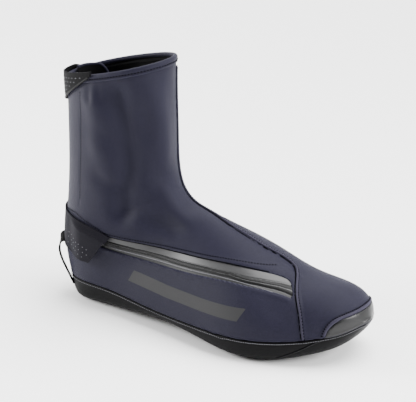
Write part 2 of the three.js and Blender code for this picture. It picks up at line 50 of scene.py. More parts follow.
# ------------------------------------------------------------------ the form
KEYS = ("fx", "fz", "bx", "bz", "wide", "out", "inn", "mid", "fe", "be")
SECTIONS = [
    dict(name="collar", fx=108.6, fz=228.0, bx=6.4, bz=202.4, wide=0.5, out=36.6, inn=36.2, mid=-0.3, fe=2.12, be=2.17),
    dict(name="calf", fx=107.9, fz=198.5, bx=5.9, bz=173.4, wide=0.5, out=36.6, inn=36.8, mid=-0.4, fe=2.1, be=2.15),
    dict(name="shaft", fx=107.8, fz=165.4, bx=5.4, bz=142.0, wide=0.5, out=36.9, inn=37.2, mid=-0.7, fe=2.09, be=2.15),
    dict(name="ankle", fx=108.5, fz=132.8, bx=2.7, bz=104.2, wide=0.5, out=37.4, inn=37.2, mid=-0.9, fe=2.08, be=2.15),
    dict(name="bend", fx=114.6, fz=112.8, bx=-0.6, bz=70.4, wide=0.52, out=38.3, inn=37.2, mid=-0.9, fe=2.06, be=2.25),
    dict(name="instep", fx=124.4, fz=103.0, bx=-0.4, bz=38.4, wide=0.55, out=39.1, inn=38.6, mid=-0.6, fe=2.06, be=2.45),
    dict(name="heel_back", fx=134.0, fz=98.8, bx=6.4, bz=10.6, wide=0.58, out=39.7, inn=40.0, mid=0.0, fe=2.08, be=2.66),
    dict(name="heel_edge", fx=140.8, fz=97.2, bx=13.4, bz=-1.0, wide=0.61, out=40.1, inn=40.8, mid=0.2, fe=2.1, be=2.93),
    dict(name="heel", fx=148.7, fz=95.6, bx=37.8, bz=-2.3, wide=0.66, out=40.7, inn=41.2, mid=0.3, fe=2.12, be=3.3),
    dict(name="heel_breast", fx=158.7, fz=93.4, bx=71.7, bz=0.2, wide=0.7, out=42.7, inn=41.0, mid=0.2, fe=2.13, be=3.4),
    dict(name="waist", fx=171.8, fz=90.1, bx=113.8, bz=3.2, wide=0.71, out=46.2, inn=42.7, mid=-0.6, fe=2.14, be=3.37),
    dict(name="arch", fx=191.8, fz=84.6, bx=160.0, bz=0.9, wide=0.72, out=51.1, inn=47.2, mid=-1.5, fe=2.14, be=3.36),
    dict(name="ball", fx=216.5, fz=75.4, bx=203.1, bz=-2.5, wide=0.74, out=54.8, inn=50.6, mid=-1.7, fe=2.15, be=3.38),
    dict(name="forefoot", fx=240.2, fz=64.4, bx=236.3, bz=-1.9, wide=0.72, out=50.0, inn=50.3, mid=1.0, fe=2.22, be=3.19),
    dict(name="toes", fx=263.0, fz=59.4, bx=263.2, bz=4.0, wide=0.68, out=40.0, inn=44.2, mid=4.8, fe=2.32, be=2.85),
    dict(name="toe_box", fx=281.6, fz=54.4, bx=282.9, bz=12.6, wide=0.62, out=28.9, inn=32.7, mid=7.7, fe=2.4, be=2.53),
    dict(name="toe_cap", fx=293.0, fz=45.6, bx=292.4, bz=22.3, wide=0.58, out=17.6, inn=19.8, mid=9.5, fe=2.38, be=2.38),
    dict(name="tip", fx=298.4, fz=35.2, bx=298.8, bz=31.4, wide=0.5, out=4.6, inn=4.8, mid=10.6, fe=2.2, be=2.2),
]
# height of the seam between upper and sole, by x
SOLE_SEAM = [(-20, 19.5), (10, 20.2), (45, 22.0), (90, 20.0), (125, 17.6), (160, 18.0), (200, 19.6), (238, 20.9), (262, 22.9), (280, 26.2), (290, 28.6), (299, 32.4), (320, 36.0)]
# back edge of the coated toe panel: x by z
BUMPER_EDGE = [(10, 279.2), (25, 279.4), (29, 279.9), (34, 281.4), (38, 284.2), (40.8, 288.2), (42.4, 293.0), (43.6, 299.0), (60, 310.0)]
# the zip's opening in the outer side: x, lower edge, upper edge
ZIP = [(46, 61.6, 73.0), (62, 60.4, 71.8), (95, 58.4, 70.8), (135, 59.0, 71.3), (168, 61.2, 73.0), (196, 62.8, 73.3), (220, 61.0, 70.0), (234, 58.4, 65.4), (242, 56.5, 61.5), (248, 54.9, 56.6)]
# garage over the zip's end: x, lower edge, upper edge
FLAP = [(-12, 47.6, 82.4), (12, 47.2, 81.8), (34, 45.4, 79.6), (50.4, 45.4, 77.2), (56.0, 52.4, 76.0), (61.6, 60.0, 74.4), (66.4, 66.9, 72.8), (70.0, 71.2, 71.8)]


def natural(at, values):
    """Second derivatives of the natural cubic spline, and a function that evaluates it."""
    at, y = np.asarray(at, float), np.asarray(values, float)
    n, h = len(at), np.diff(at)
    A, r = np.eye(n), np.zeros(n)
    for i in range(1, n - 1):
        A[i, i - 1], A[i, i], A[i, i + 1] = h[i - 1], 2 * (h[i - 1] + h[i]), h[i]
        r[i] = 6 * ((y[i + 1] - y[i]) / h[i] - (y[i] - y[i - 1]) / h[i - 1])
    m = np.linalg.solve(A, r)

    def f(t):
        t = np.asarray(t, float)
        i = np.clip(np.searchsorted(at, t, side="right") - 1, 0, n - 2)
        a, b = (at[i + 1] - t) / h[i], (t - at[i]) / h[i]
        return a * y[i] + b * y[i + 1] + ((a**3 - a) * m[i] + (b**3 - b) * m[i + 1]) * h[i] ** 2 / 6

    return f


row_at = [0.0]
for p, q in zip(SECTIONS, SECTIONS[1:]):
    row_at.append(row_at[-1] + (math.hypot(q["fx"] - p["fx"], q["fz"] - p["fz"]) + math.hypot(q["bx"] - p["bx"], q["bz"] - p["bz"])) / 2)
TRAVEL = row_at[-1]
row_at = [v / TRAVEL for v in row_at]
COLUMN = {k: natural(row_at, [r[k] for r in SECTIONS]) for k in KEYS}
seam_z = natural([p[0] for p in SOLE_SEAM], [p[1] for p in SOLE_SEAM])
edge_x = lambda z: np.interp(z, [p[0] for p in BUMPER_EDGE], [p[1] for p in BUMPER_EDGE])
zip_lo = natural([p[0] for p in ZIP], [p[1] for p in ZIP])
zip_hi = natural([p[0] for p in ZIP], [p[2] for p in ZIP])
flap_lo = lambda x: np.interp(x, [p[0] for p in FLAP], [p[1] for p in FLAP])
flap_hi = lambda x: np.interp(x, [p[0] for p in FLAP], [p[2] for p in FLAP])


CAP = 0.008  # beyond the last row, u runs on over a small dome that closes the tip


def raw(u, phi):
    """Points of the outside surface in millimetres. u and phi are arrays of one shape."""
    u, phi = np.asarray(u, float), np.asarray(phi, float)
    over = np.clip((u - 1) / CAP, 0, 1) * (math.pi / 2)
    P = ring(np.minimum(u, 1), phi)
    if over.max(initial=0) > 0:
        middle = np.array([TIP_X, TIP_Y, TIP_Z])
        P = np.where(over[..., None] > 0, middle + (P - middle) * np.cos(over)[..., None] + np.array([0.9, 0, 0]) * np.sin(over)[..., None], P)
    return P


TIP_X, TIP_Y, TIP_Z = 298.6, 10.6, 33.3


def ring(u, phi):
    g = {k: f(u) for k, f in COLUMN.items()}
    c, s = np.cos(phi), np.sin(phi)
    mx, mz = g["fx"] + (g["bx"] - g["fx"]) * g["wide"], g["fz"] + (g["bz"] - g["fz"]) * g["wide"]
    front = c >= 0
    along = np.abs(c) ** (2 / np.where(front, g["fe"], g["be"]))
    across = np.abs(s) ** (2 / np.where(front, g["fe"], g["be"]))
    tx, tz = np.where(front, g["fx"], g["bx"]), np.where(front, g["fz"], g["bz"])
    return np.stack([mx + (tx - mx) * along, g["mid"] - np.sign(s) * np.where(s >= 0, g["out"], g["inn"]) * across, mz + (tz - mz) * along], -1)


def normals(u, phi, e=1.5e-3):
    du = raw(np.clip(u + e, -0.05, 1 + CAP), phi) - raw(np.clip(u - e, -0.05, 1 + CAP), phi)
    dp = raw(u, phi + e) - raw(u, phi - e)
    n = np.cross(dp, du)
    return n / np.maximum(np.linalg.norm(n, axis=-1, keepdims=True), 1e-9)


def smooth(a, b, v):
    t = np.clip((v - a) / (b - a), 0, 1)
    return t * t * (3 - 2 * t)


def bell(d, w):
    return np.exp(-((d / w) ** 2))


# ------------------------------------------------------------------ lines on the surface
def resample(points, step):
    """A smooth curve through the points (centripetal by chord length), sampled every step."""
    p = np.asarray(points, float)
    t = np.concatenate([[0], np.cumsum(np.linalg.norm(np.diff(p, axis=0), axis=1))])
    fine = np.linspace(0, t[-1], max(8, int(t[-1] / step * 4)))
    f = [natural(t, p[:, k]) for k in range(p.shape[1])]
    q = np.stack([g(fine) for g in f], -1)
    s = np.concatenate([[0], np.cumsum(np.linalg.norm(np.diff(q, axis=0), axis=1))])
    at = np.arange(0, s[-1], step)
    return np.stack([np.interp(at, s, q[:, k]) for k in range(q.shape[1])], -1)


def nearest(points, samples, chunk=12000):
    """For each point the distance to the nearest sample and its index."""
    d, j = np.empty(len(points)), np.empty(len(points), int)
    for a in range(0, len(points), chunk):
        m = ((points[a : a + chunk, None] - samples[None]) ** 2).sum(-1)
        j[a : a + chunk] = m.argmin(1)
        d[a : a + chunk] = np.sqrt(m.min(1))
    return d, j


# The raised seam between the side panel and the panel over toe and inner side.
TOE_SEAM = [(103.0, 15.5, 226.5), (103.6, 15.0, 200), (104.2, 14.2, 165), (106.2, 12.6, 132), (111.8, 10.4, 110.5), (118.4, 9.6, 104.0), (131, 9.6, 98.4), (155.6, 4.2, 94.0), (173.7, 0.4, 89.8), (189.2, -0.4, 85.5), (204.8, 0.2, 80.6), (215.4, 3.0, 76.2), (224.8, 4.9, 71.4), (230.4, 4.0, 68.2), (235.6, -1.0, 65.4), (243.2, -12.6, 60.7), (250.3, -22.6, 54.9), (258.8, -30.8, 43.9), (262.4, -34.0, 33.2), (264.4, -34.4, 21.5)]
# Soft troughs (depth > 0) and swells (depth < 0) of the worn-in fabric. pts on the outer side.
FOLDS = [
    dict(name="shaft_trough", width=10.5, depth=2.9, pts=[(73, -35, 216), (75, -35, 206), (79, -34, 190), (82, -33, 176), (85, -32, 160), (86, -32, 143), (84, -33, 124), (80, -35, 106), (78, -36, 92)]),
    dict(name="trough_foot", width=11, depth=1.3, pts=[(60, -38, 168), (70, -36, 158), (80, -34, 148)]),
    dict(name="front_dip", width=9, depth=1.1, pts=[(97, -24, 188), (99, -22, 176), (99, -22, 160)]),
    dict(name="ankle_wrap", width=8, depth=1.5, pts=[(79, -36, 92), (90, -32, 100), (101, -24, 106)]),
    dict(name="instep_wrap", width=7.5, depth=1.5, pts=[(100, -28, 90), (116, -27, 89), (134, -22, 86)]),
    dict(name="collar_pull_a", width=3.6, depth=0.7, pts=[(50, -37, 206), (51, -37, 198), (52, -37, 191)]),
    dict(name="collar_pull_b", width=3.6, depth=0.7, pts=[(60, -37, 208), (61, -37, 200), (62, -37, 193)]),
    dict(name="shaft_swell", width=12, depth=-1.6, pts=[(54, -37, 202), (57, -37, 184), (60, -37, 166), (60, -37, 145)]),
    dict(name="front_swell", width=11, depth=-1.3, pts=[(104, -15, 206), (105, -12, 178), (106, -10, 152), (107, -9, 135)]),
    dict(name="instep_swell", width=9, depth=-1.4, pts=[(109, -12, 116), (114, -12, 107), (124, -15, 98), (136, -17, 92)]),
    dict(name="low_wrinkle", width=7, depth=0.8, pts=[(56, -38, 124), (68, -37, 118), (80, -35, 116)]),
    dict(name="inner_trough", width=10, depth=2.2, pts=[(60, 37, 205), (64, 37, 180), (70, 36, 155), (74, 36, 130)]),
    dict(name="inner_wrap", width=8, depth=1.6, pts=[(80, 36, 110), (95, 30, 106), (108, 22, 104)]),
    dict(name="toe_side", width=10, depth=0.9, pts=[(232, -40, 48), (244, -36, 44), (254, -34, 38)]),
]
for f in FOLDS:
    f["line"] = resample(f["pts"], 3.0)

HEM_LOW, HEM_STITCH = 8.0 / TRAVEL, 5.4 / TRAVEL

# base lattice of (u, phi), finer than the CAD loft
NU, NP = 304, 216
lattice_u, lattice_p = np.meshgrid(np.concatenate([np.linspace(0, 1, NU - 4), 1 + CAP * np.array([0.25, 0.5, 0.75, 0.98])]), np.arange(NP) * 2 * math.pi / NP, indexing="ij")


def to_surface(points):
    """(u, phi) of the surface points nearest to the given ones: lattice search, then refinement."""
    pts = np.asarray(points, float)
    us, ps = lattice_u[::2, ::2].ravel(), lattice_p[::2, ::2].ravel()
    _, j = nearest(pts, raw(us, ps), 400)
    u, p, du, dp = us[j], ps[j], 1.6 / NU, 1.6 * 2 * math.pi / NP
    for _ in range(9):
        best = None
        for a in (-1, 0, 1):
            for b in (-1, 0, 1):
                d = ((raw(np.clip(u + a * du, -0.05, 1), p + b * dp) - pts) ** 2).sum(-1)
                if best is None:
                    best, bu, bp = d, u + a * du, p + b * dp
                else:
                    m = d < best
                    best, bu, bp = np.where(m, d, best), np.where(m, u + a * du, bu), np.where(m, p + b * dp, bp)
        u, p, du, dp = np.clip(bu, -0.05, 1), bp, du * 0.6, dp * 0.6
    return u, p


def lie(points, step=2.0):
    """A curve through points laid on the surface: (u, phi) samples about every step millimetres."""
    q = resample(points, step)
    return to_surface(q)


toe_u, toe_p = lie(TOE_SEAM, 1.2)
toe_line = raw(toe_u, toe_p)
toe_n = normals(toe_u, toe_p)
toe_t = np.gradient(toe_line, axis=0)
toe_t /= np.linalg.norm(toe_t, axis=1, keepdims=True)


def toe_distance(P):
    """Signed distance to the toe panel's seam, positive on the toe and inner side."""
    d, j = nearest(P, toe_line)
    side = (np.cross(toe_n[j], toe_t[j]) * (P - toe_line[j])).sum(-1)
    return np.where(side > 0, d, -d)


def fields(u, phi):
    P = raw(u, phi)
    x, y, z = P[:, 0], P[:, 1], P[:, 2]
    f = {"P": P}
    f["sole"] = z - seam_z(x)
    f["bump"] = np.where(x > 270, x - edge_x(z), -20.0)
    outer = y < -2
    f["zip"] = np.where(outer, np.minimum.reduce([z - zip_lo(x), zip_hi(x) - z, x - 46, 248 - x]), -9.0)
    f["toe"] = toe_distance(P)
    return f


def folds(P):
    d = np.zeros(len(P))
    for f in FOLDS:
        near = np.where(np.abs(P - f["line"].mean(0)).max(1) < 110)[0]
        for k in range(0, len(near), 20000):
            i = near[k : k + 20000]
            e = np.exp(-((P[i, None] - f["line"][None]) ** 2).sum(-1) / f["width"] ** 2).sum(1)
            d[i] -= 2.3 * f["depth"] * np.minimum(1.2, e * 3.0 / (f["width"] * 1.772))
    return d


def quiet(P):
    """Low, even unevenness of cloth over a shoe, from a few fixed waves."""
    x, y, z = P.T
    return 0.22 * np.sin(x / 17 + 1.3) * np.cos(z / 23 + y / 31) + 0.16 * np.sin(x / 9.5 - z / 13 + 2.1) * np.cos(y / 12)


def relief(u, phi, f):
    """Millimetres that the shell stands out from the plain surface."""
    P = f["P"]
    d = folds(P) + quiet(P)
    x, y, z = P.T
    d *= smooth(-2, 14, f["sole"]) * (1 - 0.6 * bell(z - 100, 1e9) * smooth(262, 285, x))
    mm = u * TRAVEL
    # turned-in hem of the collar
    d = d * smooth(0, 22, mm) + 0.75 * (1 - smooth(5.8, 6.8, mm)) - 0.45 * bell(mm - 7.4, 0.9) - 0.3 * bell(mm - 4.0, 0.8)
    # toe panel: a groove, then its turned edge
    t = f["toe"]
    raised = smooth(0.1, 1.0, t) * (1 - smooth(2.6, 4.2, t))
    on = smooth(0.5, 3, f["sole"]) * smooth(9.5, 11, mm)
    d += on * (0.85 * raised - 0.85 * bell(t + 0.3, 0.8) - 0.28 * bell(t - 2.3, 0.6))
    # edges at the zip: rolled on both sides of the opening
    q = -f["zip"]
    open_ = (y < -2) & (x > 46) & (x < 249)
    d += np.where(open_, 0.75 * bell(q - 1.5, 1.3) - 0.5 * bell(q, 0.5), 0)
    # sole and toe panel seams
    s = f["sole"]
    d += np.where(s > 0, 0.35 * bell(s - 1.6, 1.0) - 0.75 * bell(s, 0.8), 0.15 - 0.8 * bell(s, 0.9))
    b = f["bump"]
    up = s > 0
    d += np.where(up & (b < 0), 0.8 * bell(b + 2.2, 1.5) - 0.7 * bell(b, 0.7), 0) + np.where(up & (b >= 0), -0.7 * bell(b, 0.9), 0)
    # flat seam of the back strip
    d -= np.where((y < 0) & (z > 92) & (z < 199), 0.4 * bell(x - (34.5 + 4.5 * smooth(96, 190, z)), 0.7), 0)
    d -= np.where((y > 0) & (z > 92) & (z < 199), 0.4 * bell(x - (34.5 + 4.5 * smooth(96, 190, z)), 0.7), 0)
    return d


def place(u, phi, f=None, lift=0.0):
    f = f or fields(u, phi)
    P = f["P"] + normals(u, phi) * (relief(u, phi, f) + lift)[:, None]
    P[:, 2] = np.maximum(P[:, 2], 0.02)
    return P


# ------------------------------------------------------------------ meshes
def row(P):
    return (np.asarray(P, float) - SHIFT) / 1000.0


def mesh_object(name, verts_mm, faces, material, smooth_angle=40, body=BODY):
    me = bpy.data.meshes.new(name)
    me.from_pydata(row(verts_mm).tolist(), [], [tuple(int(i) for i in f) for f in faces])
    me.validate()
    me.update()
    me.polygons.foreach_set("use_smooth", np.ones(len(me.polygons), bool))
    try:
        me.set_sharp_from_angle(angle=math.radians(smooth_angle))
    except AttributeError:
        pass
    ob = bpy.data.objects.new(name, me)
    bpy.context.scene.collection.objects.link(ob)
    me.materials.append(material)
    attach(ob, body)
    return ob


def clip(u, p, tris, values):
    """Keeps the side of the triangles where values > 0; new points lie where the value is 0."""
    v = values[tris]
    pos = v > 0
    k = pos.sum(1)
    out = [tris[k == 3]]
    u, p, values = list(u), list(p), list(values)
    made = {}

    def cut(a, b):
        key = (a, b) if a < b else (b, a)
        if key not in made:
            t = values[a] / (values[a] - values[b])
            pa, pb = p[a], p[b]
            if pb - pa > math.pi:
                pb -= 2 * math.pi
            elif pa - pb > math.pi:
                pb += 2 * math.pi
            u.append(u[a] + (u[b] - u[a]) * t)
            p.append(pa + (pb - pa) * t)
            values.append(0.0)
            made[key] = len(u) - 1
        return made[key]

    extra = []
    for tri in tris[(k == 1) | (k == 2)]:
        a, b, c = (int(i) for i in tri)
        s = [values[i] > 0 for i in (a, b, c)]
        if sum(s) == 1:
            while not values[a] > 0:
                a, b, c = b, c, a
            extra.append((a, cut(a, b), cut(a, c)))
        else:
            while values[a] > 0:
                a, b, c = b, c, a
            ab, ac = cut(a, b), cut(a, c)
            extra += [(ab, b, c), (ab, c, ac)]
    if extra:
        out.append(np.array(extra, int))
    tris = np.concatenate(out)
    used, inv = np.unique(tris.ravel(), return_inverse=True)
    return np.array(u)[used], np.array(p)[used], inv.reshape(-1, 3)


ii, jj = np.meshgrid(np.arange(NU - 1), np.arange(NP), indexing="ij")
A_, B_ = ii * NP + jj, ii * NP + (jj + 1) % NP
lattice_t = np.concatenate([np.stack([A_, B_, B_ + NP], -1).reshape(-1, 3), np.stack([A_, B_ + NP, A_ + NP], -1).reshape(-1, 3)])
U0, P0 = lattice_u.ravel(), lattice_p.ravel()


def side(x, z, inner=False):
    """(u, phi) of the points of the outer (or inner) side at these x and z."""
    x, z = np.atleast_1d(np.asarray(x, float)), np.atleast_1d(np.asarray(z, float))
    sel = (P0 > 0.02) & (P0 < math.pi - 0.02) if not inner else (P0 > math.pi + 0.02) & (P0 < 2 * math.pi - 0.02)
    us, ps = U0[sel], P0[sel]
    R = raw(us, ps)[:, [0, 2]]
    _, j = nearest(np.stack([x, z], -1), R, 2000)
    u, p = us[j].copy(), ps[j].copy()
    lo, hi = (0.004, math.pi - 0.004) if not inner else (math.pi + 0.004, 2 * math.pi - 0.004)
    target = np.stack([x, z], -1)
    for _ in range(7):
        r = raw(u, p)[:, [0, 2]] - target
        e = 1e-4
        a = (raw(u + e, p)[:, [0, 2]] - raw(u - e, p)[:, [0, 2]]) / (2 * e)
        b = (raw(u, p + e)[:, [0, 2]] - raw(u, p - e)[:, [0, 2]]) / (2 * e)
        det = a[:, 0] * b[:, 1] - a[:, 1] * b[:, 0]
        det = np.where(np.abs(det) < 1e-3, 1e-3, det)
        du = (r[:, 0] * b[:, 1] - r[:, 1] * b[:, 0]) / det
        dp = (a[:, 0] * r[:, 1] - a[:, 1] * r[:, 0]) / det
        u = np.clip(u - np.clip(du, -0.02, 0.02), 0, 1.0)
        p = np.clip(p - np.clip(dp, -0.12, 0.12), lo, hi)
    return u, p


def contour(u, p, tris, values, level=0.0):
    """Polylines where values cross the level, as lists of (u, phi) with phi unwrapped."""
    v = values - level
    v = np.where(np.abs(v) < 1e-9, 1e-9, v)
    tv = v[tris] > 0
    k = tv.sum(1)
    nodes, links = {}, {}

    def key(a, b):
        q = (a, b) if a < b else (b, a)
        if q not in nodes:
            t = v[a] / (v[a] - v[b])
            pa, pb = p[a], p[b]
            if pb - pa > math.pi:
                pb -= 2 * math.pi
            elif pa - pb > math.pi:
                pb += 2 * math.pi
            nodes[q] = (u[a] + (u[b] - u[a]) * t, pa + (pb - pa) * t)
        return q

    for tri in tris[(k == 1) | (k == 2)]:
        a, b, c = (int(i) for i in tri)
        ends = [key(m, n) for m, n in ((a, b), (b, c), (c, a)) if (v[m] > 0) != (v[n] > 0)]
        links.setdefault(ends[0], []).append(ends[1])
        links.setdefault(ends[1], []).append(ends[0])
    out, seen = [], set()
    order = sorted(links, key=lambda q: len(links[q]))
    for start in order:
        if start in seen:
            continue
        line, at = [start], start
        seen.add(start)
        while True:
            nxt = [q for q in links[at] if q not in seen]
            if not nxt:
                break
            at = nxt[0]
            seen.add(at)
            line.append(at)
        if start in links[at] and len(line) > 3:
            line.append(start)
        uv = np.array([nodes[q] for q in line])
        if len(uv) > 3:
            uv[:, 1] = np.unwrap(uv[:, 1])
            out.append(uv)
    return sorted(out, key=len, reverse=True)


def even(uv, step, ends=0.0):
    """The (u, phi) line resampled every step millimetres of surface length, lightly smoothed."""
    P = raw(uv[:, 0], uv[:, 1])
    s = np.concatenate([[0], np.cumsum(np.linalg.norm(np.diff(P, axis=0), axis=1))])
    keep = np.concatenate([[True], np.diff(s) > 1e-6])
    s, uv = s[keep], uv[keep]
    n = max(2, int(round((s[-1] - 2 * ends) / step)))
    at = np.linspace(ends, s[-1] - ends, n + 1)
    q = np.stack([np.interp(at, s, uv[:, k]) for k in (0, 1)], -1)
    for _ in range(2):
        q[1:-1] = 0.25 * q[:-2] + 0.5 * q[1:-1] + 0.25 * q[2:]
    return q


def quad_grid(rows, cols, closed=False):
    out = []
    for i in range(rows - 1):
        for j in range(cols if closed else cols - 1):
            k = (j + 1) % cols
            out.append((i * cols + j, i * cols + k, (i + 1) * cols + k, (i + 1) * cols + j))
    return out


def facing(F, P, N):
    """The faces, turned round if they face against the normals N of the points."""
    k = F[len(F) // 2]
    n = np.cross(P[k[1]] - P[k[0]], P[k[2]] - P[k[0]])
    return F if n @ N[k[0]] > 0 else [tuple(f)[::-1] for f in F]


def add_uv(ob, uv):
    me = ob.data
    layer = me.uv_layers.new(name="cloth")
    loops = np.empty(len(me.loops), int)
    me.loops.foreach_get("vertex_index", loops)
    layer.data.foreach_set("uv", np.asarray(uv, float)[loops].ravel())


def solid(ob, mm, inner=None, offset=-1.0):
    m = ob.modifiers.new("thick", "SOLIDIFY")
    m.thickness, m.offset, m.use_even_offset = mm / 1000, offset, False
    if inner is not None:
        ob.data.materials.append(inner)
        m.material_offset = 1
        m.material_offset_rim = 0
    return m


def tube(points, radius, sides=8, closed=False, flat=1.0, normal=None):
    """Vertices and faces of a tube along the points. flat squashes it along the given normals."""
    P = np.asarray(points, float)
    n = len(P)
    T = np.gradient(P, axis=0) if not closed else np.roll(P, -1, 0) - np.roll(P, 1, 0)
    T /= np.maximum(np.linalg.norm(T, axis=1, keepdims=True), 1e-9)
    if normal is None:
        ref = np.tile([0.0, 0.0, 1.0], (n, 1))
        ref[np.abs(T[:, 2]) > 0.9] = [1.0, 0, 0]
        N = np.cross(T, np.cross(ref, T))
    else:
        N = normal - (normal * T).sum(1, keepdims=True) * T
    N /= np.maximum(np.linalg.norm(N, axis=1, keepdims=True), 1e-9)
    B = np.cross(T, N)
    r = np.broadcast_to(radius, (n,))[:, None]
    a = np.arange(sides) * 2 * math.pi / sides
    V = np.concatenate([P + r * (flat * math.cos(t) * N + math.sin(t) * B) for t in a], 1).reshape(n * sides, 3)
    F = quad_grid(n, sides, True)
    if closed:
        F += [((n - 1) * sides + j, (n - 1) * sides + (j + 1) % sides, (j + 1) % sides, j) for j in range(sides)]
    else:
        F += [tuple(range(sides))[::-1], tuple((n - 1) * sides + j for j in range(sides))]
    return V, F


def stitch_set(lines):
    """Joined short threads. lines: list of (points, directions, normals, length, width, height)."""
    V, F = [], []
    base = np.array([[-1, 0, -0.25], [-0.62, -1, 0], [-0.62, 1, 0], [-0.62, 0, 1], [0.62, -1, 0], [0.62, 1, 0], [0.62, 0, 1], [1, 0, -0.25]])
    tri = [(0, 1, 3), (0, 3, 2), (1, 4, 6, 3), (3, 6, 5, 2), (4, 7, 6), (6, 7, 5), (0, 2, 1), (1, 2, 5, 4), (4, 5, 7)]
    for P, D, N, length, width, height in lines:
        for q, d, n in zip(P, D, N):
            d = d / max(np.linalg.norm(d), 1e-9)
            n = n - d * (n @ d)
            n = n / max(np.linalg.norm(n), 1e-9)
            b = np.cross(n, d)
            k = len(V)
            for c in base:
                V.append(q + d * c[0] * length / 2 + b * c[1] * width / 2 + n * c[2] * height)
            F += [tuple(k + i for i in t) for t in tri]
    return V, F


def dots(P, N, radius, height=0.25, sides=8):
    V, F = [], []
    for q, n in zip(P, N):
        a = np.cross(n, [0, 0, 1.0])
        a /= max(np.linalg.norm(a), 1e-9)
        b = np.cross(n, a)
        k = len(V)
        for j in range(sides):
            t = 2 * math.pi * j / sides
            V.append(q + radius * (math.cos(t) * a + math.sin(t) * b) - n * 0.1)
        for j in range(sides):
            t = 2 * math.pi * j / sides
            V.append(q + 0.7 * radius * (math.cos(t) * a + math.sin(t) * b) + n * height)
        F += [(k + j, k + (j + 1) % sides, k + sides + (j + 1) % sides, k + sides + j) for j in range(sides)]
        F.append(tuple(k + sides + j for j in range(sides)))
    return V, F


# ------------------------------------------------------------------ finishes
def srgb(r, g, b):
    return tuple((c / 255 / 12.92) if c / 255 <= 0.04045 else ((c / 255 + 0.055) / 1.055) ** 2.4 for c in (r, g, b)) + (1.0,)


def finish(name, color, rough=0.7, sheen=0.0, sheen_rough=0.4, coat=0.0, coat_rough=0.2, spec=0.4, weave=0.0, pitch=0.9, grain=0.0, grain_scale=900.0, metal=0.0, mottled=0.0):
    m = bpy.data.materials.new(name)
    m.use_nodes = True
    nt = m.node_tree
    b = next(n for n in nt.nodes if n.type == "BSDF_PRINCIPLED")
    s = b.inputs
    s["Base Color"].default_value = color
    s["Roughness"].default_value = rough
    s["Metallic"].default_value = metal
    s["Specular IOR Level"].default_value = spec
    s["Sheen Weight"].default_value = sheen
    s["Sheen Roughness"].default_value = sheen_rough
    s["Sheen Tint"].default_value = (0.7, 0.68, 1.0, 1.0)
    s["Coat Weight"].default_value = coat
    s["Coat Roughness"].default_value = coat_rough
    co = nt.nodes.new("ShaderNodeTexCoord")
    if mottled:
        n1 = nt.nodes.new("ShaderNodeTexNoise")
        n1.inputs["Scale"].default_value = 800.0
        n1.inputs["Detail"].default_value = 5.0
        nt.links.new(co.outputs["Object"], n1.inputs["Vector"])
        mix = nt.nodes.new("ShaderNodeMix")
        mix.data_type = "RGBA"
        mix.inputs[6].default_value = tuple(c * (1 - mottled) for c in color[:3]) + (1,)
        mix.inputs[7].default_value = tuple(min(1, c * (1 + mottled)) for c in color[:3]) + (1,)
        nt.links.new(n1.outputs["Fac"], mix.inputs[0])
        nt.links.new(mix.outputs[2], s["Base Color"])
    last = None
    if weave:
        w = nt.nodes.new("ShaderNodeTexWave")
        w.wave_type, w.bands_direction = "BANDS", "DIAGONAL"
        w.inputs["Scale"].default_value = 1.0 / pitch * 0.62
        w.inputs["Distortion"].default_value = 0.6
        nt.links.new(co.outputs["UV"], w.inputs["Vector"])
        bump = nt.nodes.new("ShaderNodeBump")
        bump.inputs["Strength"].default_value = weave
        bump.inputs["Distance"].default_value = 0.00012
        nt.links.new(w.outputs["Fac"], bump.inputs["Height"])
        last = bump
    if grain:
        n2 = nt.nodes.new("ShaderNodeTexNoise")
        n2.inputs["Scale"].default_value = grain_scale
        n2.inputs["Detail"].default_value = 3.0
        nt.links.new(co.outputs["Object"], n2.inputs["Vector"])
        bump = nt.nodes.new("ShaderNodeBump")
        bump.inputs["Strength"].default_value = grain
        bump.inputs["Distance"].default_value = 0.0003
        nt.links.new(n2.outputs["Fac"], bump.inputs["Height"])
        if last:
            nt.links.new(last.outputs["Normal"], bump.inputs["Normal"])
        last = bump
    if last:
        nt.links.new(last.outputs["Normal"], s["Normal"])
    return m


SHELL = finish("shell twill", srgb(21, 20, 33), rough=0.6, sheen=0.05, sheen_rough=0.3, spec=0.1, weave=0.6, grain=0.5, mottled=0.3)
SHELL_EDGE = finish("turned cloth edge", srgb(36, 34, 46), rough=0.6, sheen=0.06, spec=0.1, grain=0.4)
# near-black for the dark seam joints; the same colour also paints the shadow line under the upper panel's edge at the
# zip
JOINT_AND_SHADOW = finish("dark joint", srgb(5, 5, 7), rough=0.9, spec=0.02)
SOLE = finish("sole rubberised cloth", srgb(7, 7, 8), rough=0.55, spec=0.06, grain=0.5, grain_scale=1400, mottled=0.1)
BUMPER = finish("toe coating", srgb(17, 17, 18), rough=0.36, coat=0.12, coat_rough=0.28, spec=0.22, grain=0.25, grain_scale=700)
TAPE = finish("zip tape", srgb(44, 44, 45), rough=0.4, coat=0.06, coat_rough=0.25, spec=0.25, grain=0.2, grain_scale=1200)
TAPE_LOW = finish("zip lower tape", srgb(32, 32, 33), rough=0.5, coat=0.04, coat_rough=0.3, spec=0.2, grain=0.2, grain_scale=1200)
COIL = finish("zip coil", srgb(12, 12, 13), rough=0.5, spec=0.15)
METAL = finish("slider metal", srgb(60, 60, 62), rough=0.4, metal=0.6, spec=0.3)
GARAGE = finish("garage cloth", srgb(16, 15, 20), rough=0.72, sheen=0.02, spec=0.05, weave=0.4, grain=0.4, mottled=0.1)
TAB = finish("tab patch", srgb(8, 8, 9), rough=0.75, sheen=0.01, spec=0.06, grain=0.6, mottled=0.1)
PIPING = finish("dark piping", srgb(8, 8, 9), rough=0.6, spec=0.1)
HEM = finish("collar hem", srgb(25, 23, 30), rough=0.7, sheen=0.05, spec=0.1, weave=0.3, grain=0.4)
WEB = finish("webbing", srgb(10, 10, 11), rough=0.8, spec=0.1, weave=0.8, pitch=1.2)
